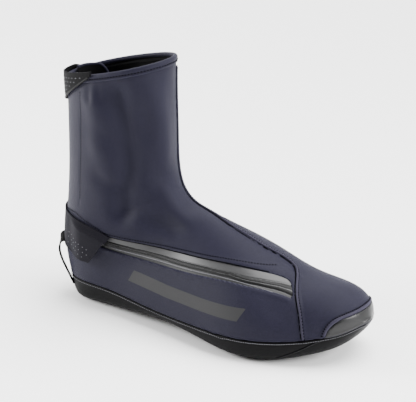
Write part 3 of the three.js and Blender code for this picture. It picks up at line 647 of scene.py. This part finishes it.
LINING = finish("lining", srgb(14, 14, 15), rough=0.9, spec=0.05, grain=0.6, grain_scale=1100)
THREAD = finish("dark thread", srgb(2, 2, 3), rough=0.9, spec=0.01)
THREAD_PALE = finish("pale thread", srgb(88, 88, 92), rough=0.7, spec=0.1)
EDGE = finish("folded edge", srgb(50, 50, 54), rough=0.6, spec=0.1)
EDGE_DARK = finish("dark folded edge", srgb(26, 26, 27), rough=0.6, spec=0.1)
PRINT = finish("grey print", srgb(42, 42, 43), rough=0.5, spec=0.1, grain=0.3)


# ------------------------------------------------------------------ skins
F0 = fields(U0, P0)
inside_bump = np.minimum(F0["sole"], F0["bump"])


def skin(name, values, material, node, mm, inner=None, lift=0.0, u=None, p=None, tris=None, extra=None):
    """A skin of the part: the lattice where values > 0, given its relief and thickness."""
    if u is None:
        u, p, tris = U0, P0, lattice_t
    uu, pp, tt = clip(u, p, tris, values)
    f = fields(uu, pp)
    P = place(uu, pp, f, lift)
    if extra is not None:
        P = P + normals(uu, pp) * extra(uu, pp, f)[:, None]
        P[:, 2] = np.maximum(P[:, 2], 0.02)
    ob = mesh_object(name, P, tt, material, 42)
    add_uv(ob, np.stack([uu * TRAVEL, np.where(pp > math.pi, pp - 2 * math.pi, pp) * 46], -1))
    if node:
        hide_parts(node)
    if mm:
        solid(ob, mm, inner)
    return ob


zipped = F0["zip"]
shell_values = np.minimum.reduce([U0 * TRAVEL - 1.5, F0["sole"] - 0.15, -inside_bump - 0.15, -zipped])
# the whole upper is one mesh
upper = skin("upper_cloth", shell_values, SHELL, "upper", 2.8, LINING)

def window(P, cx, cy, length, width, corner):
    dx, dy = np.abs(P[:, 0] - cx) - (length / 2 - corner), np.abs(P[:, 1] - cy) - (width / 2 - corner)
    out = np.hypot(np.maximum(dx, 0), np.maximum(dy, 0)) + np.minimum(np.maximum(dx, dy), 0) - corner
    return np.where(P[:, 2] < 12, out, 9.0)


P_all = F0["P"]
windows = np.minimum(window(P_all, 204, -1, 70, 52, 14), window(P_all, 50, 0.3, 42, 38, 12))
sole = skin("sole_cloth", np.minimum(-F0["sole"] - 0.1, windows), SOLE, "sole", 2.2, LINING, lift=0.1)
bumper = skin("toe_panel", np.minimum(F0["sole"] - 0.15, F0["bump"] - 0.1), BUMPER, "toe_bumper", 2.2, LINING, lift=0.35)

# rolled collar edge, from the hem's outside over the wall to the inside
rim_phi = np.arange(NP) * 2 * math.pi / NP
rim_u = np.full(NP, 1.9 / TRAVEL)
rim_c = raw(rim_u, rim_phi) + normals(rim_u, rim_phi) * -1.0
V, F = tube(rim_c, 2.1, 14, True)
rim = mesh_object("collar_roll", V, F, SHELL, 60)
add_uv(rim, np.stack([np.tile(np.arange(14), NP) * 1.0, np.repeat(rim_phi * 46, 14)], -1))

# turned hem band over the cloth
hem_u = np.linspace(1.6 / TRAVEL, 6.6 / TRAVEL, 9)
hu, hp = np.meshgrid(hem_u, rim_phi, indexing="ij")
d_edge = np.array([0.4, 0.5, 0.5, 0.45, 0.45, 0.4, 0.45, 0.45, 0.05])
H = raw(hu.ravel(), hp.ravel())
fh = fields(hu.ravel(), hp.ravel())
H = H + normals(hu.ravel(), hp.ravel()) * (relief(hu.ravel(), hp.ravel(), fh) + np.repeat(d_edge, NP) - 0.05)[:, None]
gath = np.repeat(0.12 * np.sin(rim_phi * 61) * np.exp(-(((rim_phi - 1.65) / 0.35) ** 2)), 1)
H += normals(hu.ravel(), hp.ravel()) * np.tile(gath, 9)[:, None]
hem = mesh_object("collar_hem", H, facing(quad_grid(9, NP, True), H, normals(hu.ravel(), hp.ravel())), SHELL, 60)
add_uv(hem, np.stack([hu.ravel() * TRAVEL, hp.ravel() * 46], -1))
solid(hem, 0.5)

# ------------------------------------------------------------------ zip
zx = np.linspace(46.6, 247.6, 260)
zv = np.linspace(-1.18, 1.18, 52)
ZX, ZV = np.meshgrid(zx, zv, indexing="ij")
lo, hi = zip_lo(ZX), zip_hi(ZX)
zmid, zhalf = (lo + hi) / 2, (hi - lo) / 2
zu, zp = side(ZX.ravel(), (zmid + ZV * (zhalf + 0.1)).ravel())
COIL_X = [46, 62, 95, 135, 168, 196, 220, 234, 242, 248]
COIL_Z = [66.6, 65.6, 64.0, 64.4, 66.4, 67.2, 64.6, 61.8, 59.7, 57.9]
coil_z = lambda x: np.interp(x, COIL_X, COIL_Z)
mmv = (zmid + ZV * zhalf - coil_z(ZX)).ravel()  # millimetres above the coil's line
zf = -0.75 * np.ones(len(mmv))
zf += 0.5 * bell(mmv, 1.3) - 0.5 * bell(mmv, 0.25) - 0.4 * bell(np.abs(mmv) - 1.7, 0.35) + 0.25 * bell(mmv + 3.4, 0.5)
zf += 0.08 * np.sin(ZX.ravel() / 1.5 * 2 * math.pi) * bell(np.abs(mmv) - 0.9, 0.6)
Z0 = raw(zu, zp) + normals(zu, zp) * (zf + folds(raw(zu, zp)) * 0.6)[:, None]
tape = mesh_object("zip_tape_and_coil", Z0, facing(quad_grid(len(zx), len(zv)), Z0, normals(zu, zp)), TAPE, 60)
add_uv(tape, np.stack([ZX.ravel(), ZV.ravel() * 6], -1))
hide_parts("zip_chain")
solid(tape, 1.2)
tape.data.materials.append(COIL)
mids = np.array([mmv[list(pl.vertices)].mean() for pl in tape.data.polygons])
tape.data.polygons.foreach_set("material_index", (np.abs(np.abs(mids) - 0.95) < 0.75).astype(int) + 2 * (mids < -1.7).astype(int))
tape.data.materials.append(TAPE_LOW)

# ------------------------------------------------------------------ garage, tab, underlap
def fine_patch(u0, u1, p0, p1, nu, np_):
    a, b = np.meshgrid(np.linspace(u0, u1, nu), np.linspace(p0, p1, np_), indexing="ij")
    t = []
    for q in quad_grid(nu, np_):
        t += [(q[0], q[1], q[2]), (q[0], q[2], q[3])]
    return a.ravel(), b.ravel(), np.array(t)


def flap_field(P):
    x, y, z = P.T
    out = np.where(y < 0, 70 - x, 32 - x)
    return np.minimum.reduce([z - flap_lo(x), flap_hi(x) - z, out])


def flap_lift(P):
    x, y, z = P.T
    top = 77.4 + 0 * x
    top = np.interp(x, [30, 46, 62, 95], [80.0, 77.5, 76.0, 75.6])
    return 0.35 + 5.8 * smooth(20, 43, x) * smooth(2, -14, y) * smooth(0, 5, np.interp(x, [20, 50.4, 56, 61.6, 66.4, 70], [82, 77.2, 76, 74.4, 72.8, 71.8]) - z)


gu, gp, gt = fine_patch(0.19, 0.56, math.radians(60), math.radians(262), 190, 170)
gf = flap_field(raw(gu, gp))


def flap_extra(uu, pp, f):
    P = f["P"]
    v = flap_field(P)
    return -relief(uu, pp, f) + flap_lift(P) + 1.2 + 0.25 * bell(v - 0.8, 0.8) - 0.22 * bell(v - 2.2, 0.5)


flap = skin("zip_garage_cloth", gf, GARAGE, "zip_garage", 1.3, None, 0.0, gu, gp, gt, flap_extra)


def flap_point(x, z, above=0.0):
    u, p = side(x, z)
    P = raw(u, p)
    n = normals(u, p)
    return P + n * (flap_lift(P) + 1.2 + above)[:, None], n, u, p


def strip_grid(name, un, pn, lifts, material, node, mm, rows, cols, inner=None):
    f = fields(un, pn)
    P = raw(un, pn) + normals(un, pn) * (lifts + folds(f["P"]) * smooth(0, 22, un * TRAVEL))[:, None]
    ob = mesh_object(name, P, facing(quad_grid(rows, cols), P, normals(un, pn)), material, 50)
    add_uv(ob, np.stack([un * TRAVEL, pn * 46], -1))
    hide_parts(node)
    solid(ob, mm, inner)
    return ob


def tab_at(s, t):
    x = np.abs(2 * s - 1)
    top = -0.0075 + 0.0115 * smooth(0.5, 0.62, s)
    end = np.where(s < 0.5, 0.0015, 0.009)
    low = end + (0.064 - end) * (1 - x**1.6)
    low = np.maximum(low, top + 0.0015)
    phi = math.pi + math.radians(88) * (2 * s - 1)
    return top + (low - top) * t, phi, 0.75 + 0.3 + 1.3 + 0.9 * (1 - x**2) * (1 - t**2)


S, T = np.meshgrid(np.linspace(0, 1, 130), np.linspace(0, 1, 26), indexing="ij")
tu, tp, tl = tab_at(S.ravel(), T.ravel())
tab = strip_grid("collar_tab_patch", tu, tp, tl, TAB, "collar_tab", 1.3, 130, 26)


def under_at(s, t):
    over = np.maximum(0, (s - 0.62) / 0.38)
    high = -0.007 * (1 - smooth(0.15, 0.8, s)) + 0.08 * (1 - np.sqrt(np.maximum(0, 1 - over**2)))
    u = high + (0.115 - high) * t
    return u, np.radians(174 + 58 * s), -3.0 - 0.5 - 2.5 * smooth(0.2, 1, s) * (1 - t) - 0.6


S, T = np.meshgrid(np.linspace(0, 1, 60), np.linspace(0, 1, 40), indexing="ij")
uu_, up_, ul_ = under_at(S.ravel(), T.ravel())
under = strip_grid("collar_underlap_cloth", uu_, up_, ul_, HEM, "collar_underlap", 1.6, 60, 40, LINING)

# ------------------------------------------------------------------ heel loop
LOOP = np.array([(6.9, -23.8, 53.2), (4.4, -25.9, 52.5), (2.6, -27.4, 48.9), (1.9, -28.4, 43.8), (2.4, -28.7, 38.3), (4.6, -28.6, 32.0), (7.7, -27.9, 25.2), (12.0, -27.3, 17.2), (15.6, -26.8, 10.6)])
lp = resample(LOOP, 0.8)
tt = np.linspace(0, 1, len(lp))
wa, wb = np.array([-0.42, 0.6, 0.68]), np.array([-0.559, 0.745, -0.365])
wd = wa + (wb - wa) * smooth(0, 0.3, tt)[:, None]
Tn = np.gradient(lp, axis=0)
Tn /= np.linalg.norm(Tn, axis=1, keepdims=True)
wd -= (wd * Tn).sum(1, keepdims=True) * Tn
wd /= np.linalg.norm(wd, axis=1, keepdims=True)
nd = np.cross(Tn, wd)
prof = [(-6, -0.3), (-6, 0.3), (-5.5, 0.6)] + [(x, 0.6) for x in (-3, 0, 3)] + [(5.5, 0.6), (6, 0.3), (6, -0.3), (5.5, -0.6)] + [(x, -0.6) for x in (3, 0, -3)] + [(-5.5, -0.6)]
V = np.concatenate([lp + a * wd + b * nd for a, b in prof], 1).reshape(-1, 3)
nprof = len(prof)
F = quad_grid(len(lp), nprof, True) + [tuple(range(nprof))[::-1], tuple((len(lp) - 1) * nprof + j for j in range(nprof))]
loop = mesh_object("heel_loop_webbing", V, F, WEB, 45)
add_uv(loop, np.stack([np.repeat(np.arange(len(lp)) * 0.8, nprof), np.tile([a for a, b in prof], len(lp))], -1))
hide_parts("heel_loop")

# ------------------------------------------------------------------ threads, piping, dots
def on_skin(uv, lift=0.0):
    u, p = uv[:, 0], uv[:, 1]
    f = fields(u, p)
    return place(u, p, f, lift), normals(u, p)


def run_of(uv, step, lift, ends=0.0):
    q = even(uv, step, ends)
    P, N = on_skin(q, lift)
    return P, np.gradient(P, axis=0), N


def group(name, V, F, material, smooth_angle=50):
    ob = mesh_object(name, V, F, material, smooth_angle)
    return ob


dark, pale = [], []
# hem stitches
q = np.stack([np.full(400, 4.0 / TRAVEL), np.linspace(0, 2 * math.pi, 400)], -1)
P, D, N = run_of(q, 2.7, 0.62)
dark.append((P, D, N, 1.7, 1.15, 0.4))
# inner stitch row of the collar
q = np.stack([np.full(400, 7.0 / TRAVEL), np.linspace(0, 2 * math.pi, 400)], -1)
P, D, N = run_of(q, 3.0, -3.6)
dark.append((P, D, -N, 1.9, 0.6, 0.3))
# toe panel: a row just inside its turned edge, the turned edge itself and the dark joint beside it
def beside(line, n, t, mm):
    u, p = to_surface(line + np.cross(n, t) * mm)
    return np.stack([u, np.unwrap(p)], -1)


def trim(uv, low=1.5, top=9.5):
    f = fields(uv[:, 0], uv[:, 1])
    return uv[(f["sole"] > low) & (uv[:, 0] * TRAVEL > top)]


def ribbon(name, uv, lift, half, high, material):
    """A low rounded band along a line of the skin."""
    q = even(uv, 1.2)
    P, N = on_skin(q, lift)
    T = np.gradient(P, axis=0)
    T /= np.maximum(np.linalg.norm(T, axis=1, keepdims=True), 1e-9)
    B = np.cross(N, T)
    prof = [(-1, -0.6), (-0.8, 0.35), (-0.3, 0.9), (0.3, 0.9), (0.8, 0.35), (1, -0.6)]
    V = np.concatenate([P + a * half * B + b * high * N for a, b in prof], 1).reshape(-1, 3)
    F = quad_grid(len(P), len(prof), True)
    ob = group(name, V, F, material, 60)
    bm_fix(ob)
    return ob


def bm_fix(ob):
    import bmesh

    bm = bmesh.new()
    bm.from_mesh(ob.data)
    bmesh.ops.recalc_face_normals(bm, faces=bm.faces)
    bm.to_mesh(ob.data)
    bm.free()


row_uv = trim(beside(toe_line, toe_n, toe_t, 2.2))
P, D, N = run_of(row_uv, 2.5, 0.6)
dark.append((P, D, N, 1.5, 0.85, 0.35))
ribbon("toe_panel_edge", trim(beside(toe_line, toe_n, toe_t, 1.15)), 0.1, 1.0, 0.6, SHELL_EDGE)
ribbon("toe_panel_joint", trim(beside(toe_line, toe_n, toe_t, -0.3)), 0.45, 0.65, 0.25, JOINT_AND_SHADOW)
# sole seam: pale row on the sole's side
for uv in contour(U0, P0, lattice_t, F0["sole"], -1.5)[:1]:
    P, D, N = run_of(uv, 2.0, 0.35)
    pale.append((P, D, N, 1.6, 0.6, 0.35))
for uv in contour(U0, P0, lattice_t, F0["sole"], 0.0)[:1]:
    ribbon("sole_joint", uv, 0.25, 0.5, 0.2, JOINT_AND_SHADOW)
# toe panel of coated cloth: ladder stitches over the cloth's hem
bump_uv = max(contour(U0, P0, lattice_t, np.where(F0["sole"] > -3, F0["bump"], -20.0), 0.0), key=len)
bump_uv = even(bump_uv, 1.0)
ok_ = fields(bump_uv[:, 0], bump_uv[:, 1])["sole"] > 0.6
starts = np.where(ok_ & ~np.roll(ok_, 1))[0]
if len(starts):
    best = max(starts, key=lambda k: int(np.argmin(np.append(np.roll(ok_, -k), False))))
    bump_uv = np.roll(bump_uv, -best, axis=0)[: int(np.argmin(np.append(np.roll(ok_, -best), False)))]
    bump_uv[:, 1] = np.unwrap(bump_uv[:, 1])
bl_, bn_ = raw(bump_uv[:, 0], bump_uv[:, 1]), normals(bump_uv[:, 0], bump_uv[:, 1])
bt_ = np.gradient(bl_, axis=0)
bt_ /= np.linalg.norm(bt_, axis=1, keepdims=True)
m_ = len(bl_) // 2
sgn = -1.0 if (np.cross(bn_[m_], bt_[m_]))[0] > 0 else 1.0
ribbon("toe_hem", beside(bl_, bn_, bt_, sgn * 1.5), 0.15, 1.5, 0.55, SHELL_EDGE)
ribbon("toe_hem_joint", beside(bl_, bn_, bt_, sgn * -0.1), 0.3, 0.45, 0.25, JOINT_AND_SHADOW)
P, D, N = run_of(beside(bl_, bn_, bt_, sgn * 3.2), 2.1, 0.6)
dark.append((P, np.cross(N, D), N, 1.6, 0.95, 0.35))
# side edge stitches above the zip
zs_ = np.linspace(60, 222, 170)
ze = np.stack(side(zs_, zip_hi(zs_) + 2.6), -1)
P, D, N = run_of(ze, 2.5, 0.55)
dark.append((P, D, N, 1.5, 0.9, 0.3))
# black band just above the opening: painted shadow of the upper panel's edge falling over the zip tape
ze = np.stack(side(zs_, zip_hi(zs_) + 0.35), -1)
ribbon("zip_upper_painted_shadow", ze, -0.1, 0.6, 0.3, JOINT_AND_SHADOW)
# ladder ticks over the garage's upper edge
LADDER = [(11.9, 83.1), (28.6, 85.0), (40.7, 81.3), (54, 77.3), (66, 73.5)]
lx = np.linspace(12, 66, 60)
le = np.stack(side(lx, np.interp(lx, [a for a, b in LADDER], [b for a, b in LADDER])), -1)
P, D, N = run_of(le, 2.1, 0.35)
dark.append((P, np.cross(N, D), N, 1.7, 0.45, 0.3))
# back strip
for inner in (False, True):
    for z0, z1 in ((100, 196),):
        zz = np.linspace(z0, z1, 100)
        be = np.stack(side(34.5 + 4.5 * smooth(96, 190, zz) + 1.2, zz, inner), -1)
        P, D, N = run_of(be, 2.6, 0.2)
        dark.append((P, D, N, 1.7, 0.8, 0.3))
V, F = stitch_set(dark)
group("stitches_dark", V, F, THREAD)
V, F = stitch_set(pale)
group("stitches_pale", V, F, THREAD_PALE)

# pale line along the zip's lower tape
zl = np.linspace(70, 240, 170)
le = np.stack(side(zl, (zip_lo(zl) + zip_hi(zl)) / 2 - 3.7), -1)
Pn = normals(le[:, 0], le[:, 1])
V, F = tube(raw(le[:, 0], le[:, 1]) + Pn * (folds(raw(le[:, 0], le[:, 1])) * 0.6 - 0.5)[:, None], 0.3, 6)
group("zip_tape_line", V, F, THREAD_PALE)

# piping at the coated panel's lower seam
for k, uv in enumerate(contour(U0, P0, lattice_t, np.where(F0["P"][:, 0] > 268, F0["sole"], 20.0), 0.2)[:1]):
    uv = even(uv, 1.5)
    f = fields(uv[:, 0], uv[:, 1])
    uv = uv[f["bump"] > -1.5]
    P, N = on_skin(uv, 0.55)
    V, F = tube(P, 0.5, 8)
    group("toe_piping", V, F, EDGE)

# seam across the sole's raised edge near the toe
q = resample([(279.5, -23.5, 25.6), (272, -29.5, 22.0), (266.4, -32.8, 18.4), (258, -37, 13.5), (251.5, -40, 10), (244, -43, 5.5)], 1.0)
q = np.stack(to_surface(q), -1)
ribbon("sole_seam_joint", q, 0.2, 0.4, 0.2, JOINT_AND_SHADOW)
P, N = on_skin(even(q, 1.2), 0.25)
T_ = np.gradient(P, axis=0)
T_ /= np.linalg.norm(T_, axis=1, keepdims=True)
V, F = tube(P + np.cross(N, T_) * 0.8, 0.35, 6)
group("sole_seam_edge", V, F, EDGE_DARK)

# rolled edge of the underlap
s = np.linspace(0.01, 0.99, 90)
u2, p2, l2 = under_at(s, np.zeros_like(s))
P = raw(u2, p2) + normals(u2, p2) * (l2 - 0.6)[:, None]
V, F = tube(P, 1.35, 10)
group("underlap_roll", V, F, SHELL)

# tab edge piping
s = np.linspace(0.015, 0.985, 150)
u1, p1, l1 = tab_at(s, np.ones_like(s))
P = raw(u1, p1) + normals(u1, p1) * (l1 + folds(raw(u1, p1)) * smooth(0, 22, u1 * TRAVEL) - 0.3)[:, None]
V, F = tube(P, 0.85, 8)
group("tab_piping", V, F, PIPING)

# perforation dots of the garage and the tab
ROWS = [[(20.8, 64), (26.4, 63.9), (30.8, 62.1), (35.6, 60.6), (39.9, 60.3), (44.7, 59.1), (48.9, 57.8)], [(19.3, 59.4), (25.7, 58.4), (30.1, 58), (35.1, 56.6), (39.6, 55.2), (44.5, 54.1), (48.7, 52.9)], [(18.2, 53.5), (25.2, 54.2), (29.8, 52.6), (33.8, 52.1), (38.3, 50.6), (43.1, 49.5)]]
xs, zs = np.array([a for r in ROWS for a, b in r]), np.array([b for r in ROWS for a, b in r])
P, N, _, _ = flap_point(xs, zs, 0.02)
V, F = dots(P, N, 0.5)
group("garage_dots", V, F, THREAD_PALE)
uu, pp = [], []
for i in range(-14, 15):
    for j in range(0, 8):
        ph = math.pi + (i * 4.6 + (2.3 if j % 2 else 0)) / 42.0
        u_ = 0.0045 + j * 3.6 / TRAVEL
        s_ = (ph - math.pi) / math.radians(88) / 2 + 0.5
        if 0.03 < s_ < 0.97:
            a_, _, _ = tab_at(np.array([s_]), np.array([0.0]))
            b_, _, _ = tab_at(np.array([s_]), np.array([1.0]))
            if a_[0] + 2.2 / TRAVEL < u_ < b_[0] - 2.6 / TRAVEL:
                uu.append(u_)
                pp.append(ph)
uu, pp = np.array(uu), np.array(pp)
s_ = (pp - math.pi) / math.radians(88) / 2 + 0.5
a_, _, _ = tab_at(s_, np.zeros_like(s_))
b_, _, _ = tab_at(s_, np.ones_like(s_))
_, _, l_ = tab_at(s_, (uu - a_) / (b_ - a_))
P = raw(uu, pp) + normals(uu, pp) * (l_ + folds(raw(uu, pp)) * smooth(0, 22, uu * TRAVEL))[:, None]
V, F = dots(P, normals(uu, pp), 0.6)
group("tab_dots", V, F, THREAD_PALE)

# one plain slanted band printed on the low side panel
bu, bp, bt = fine_patch(0.3, 0.85, math.radians(20), math.radians(170), 280, 170)
Pb = raw(bu, bp)
mid_z = np.interp(Pb[:, 0], [88, 134, 175, 222], [42, 39.5, 39.5, 41])
half = 5.4
slant = (Pb[:, 2] - mid_z) * 0.55
band = np.minimum.reduce([half - np.abs(Pb[:, 2] - mid_z), Pb[:, 0] - slant - 92, 216 - Pb[:, 0] + slant])
band = np.where(Pb[:, 1] < 0, band, -5)
print_ob = skin("side_band", band, PRINT, None, 0, None, 0.1, bu, bp, bt)

# slider and pull keep their CAD meshes
for n in ("zip_slider", "zip_pull"):
    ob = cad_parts[n]
    ob.data.materials.clear()
    ob.data.materials.append(METAL)
    m = ob.modifiers.new("edge", "BEVEL")
    m.width, m.segments = 0.00025, 2

# ------------------------------------------------------------------ stage, light, camera
def plane(name, corners, color, rough=0.9):
    me = bpy.data.meshes.new(name)
    me.from_pydata(corners, [], [(0, 1, 2, 3)])
    ob = bpy.data.objects.new(name, me)
    bpy.context.scene.collection.objects.link(ob)
    m = bpy.data.materials.new(name)
    m.use_nodes = True
    b = next(n for n in m.node_tree.nodes if n.type == "BSDF_PRINCIPLED")
    b.inputs["Base Color"].default_value = color
    b.inputs["Roughness"].default_value = rough
    b.inputs["Specular IOR Level"].default_value = 0.1
    me.materials.append(m)
    return ob


plane("floor", [(-6, -6, -0.0005), (6, -6, -0.0005), (6, 6, -0.0005), (-6, 6, -0.0005)], (0.92, 0.92, 0.92, 1))

world = bpy.data.worlds.new("studio")
bpy.context.scene.world = world
world.use_nodes = True
wt = world.node_tree
bg = next(n for n in wt.nodes if n.type == "BACKGROUND")
bg.inputs["Color"].default_value = (1, 1, 1, 1)
# a pale tent that is darker towards the viewer's side, as in a studio
wc = wt.nodes.new("ShaderNodeTexCoord")
wd_ = wt.nodes.new("ShaderNodeVectorMath")
wd_.operation = "DOT_PRODUCT"
wd_.inputs[1].default_value = (0.52, -0.83, 0.05)
wm = wt.nodes.new("ShaderNodeMapRange")
wm.interpolation_type = "SMOOTHSTEP"
wm.inputs["From Min"].default_value, wm.inputs["From Max"].default_value = -0.1, 0.75
wm.inputs["To Min"].default_value, wm.inputs["To Max"].default_value = 1.9, 0.02
wt.links.new(wc.outputs["Generated"], wd_.inputs[0])
wt.links.new(wd_.outputs["Value"], wm.inputs["Value"])
wt.links.new(wm.outputs["Result"], bg.inputs["Strength"])


def area(name, at, to, size, power, size_y=None):
    li = bpy.data.lights.new(name, "AREA")
    li.energy, li.size = power, size
    if size_y:
        li.shape, li.size_y = "RECTANGLE", size_y
    ob = bpy.data.objects.new(name, li)
    ob.location = at
    ob.rotation_euler = (Vector(to) - Vector(at)).to_track_quat("-Z", "Y").to_euler()
    bpy.context.scene.collection.objects.link(ob)
    return ob


def sun(name, towards, strength, angle):
    li = bpy.data.lights.new(name, "SUN")
    li.energy, li.angle = strength, math.radians(angle)
    ob = bpy.data.objects.new(name, li)
    ob.rotation_euler = (-Vector(towards)).to_track_quat("-Z", "Y").to_euler()
    bpy.context.scene.collection.objects.link(ob)
    return ob


sun("overhead", (0.15, 0.3, 1.0), 7.5, 50)
area("right", (1.3, 0.1, 0.7), (0.05, 0, 0.1), 0.7, 40)
area("left", (-1.2, -0.6, 0.6), (0.0, 0, 0.12), 0.5, 34)

back = Vector((0.559, -0.7448, 0.3646)).normalized()
right = Vector((0.8042, 0.5941, -0.0193))
right = (right - back * right.dot(back)).normalized()
up = back.cross(right)
target = Vector(((140 - SHIFT[0]) / 1000, (0 - SHIFT[1]) / 1000, 0.110))
cam = bpy.data.cameras.new("camera")
cam_ob = bpy.data.objects.new("camera", cam)
bpy.context.scene.collection.objects.link(cam_ob)
m = Matrix((right, up, back)).transposed().to_4x4()
m.translation = target + back * 1.6
cam_ob.matrix_world = m
cam.sensor_fit, cam.sensor_width = "HORIZONTAL", 36
cam.lens = 1891.04 / 416 * 36
cam.shift_x = (208 - 202.24) / 416
cam.shift_y = (198.36 - 201) / 416
cam.clip_start, cam.clip_end = 0.05, 20
bpy.context.scene.camera = cam_ob
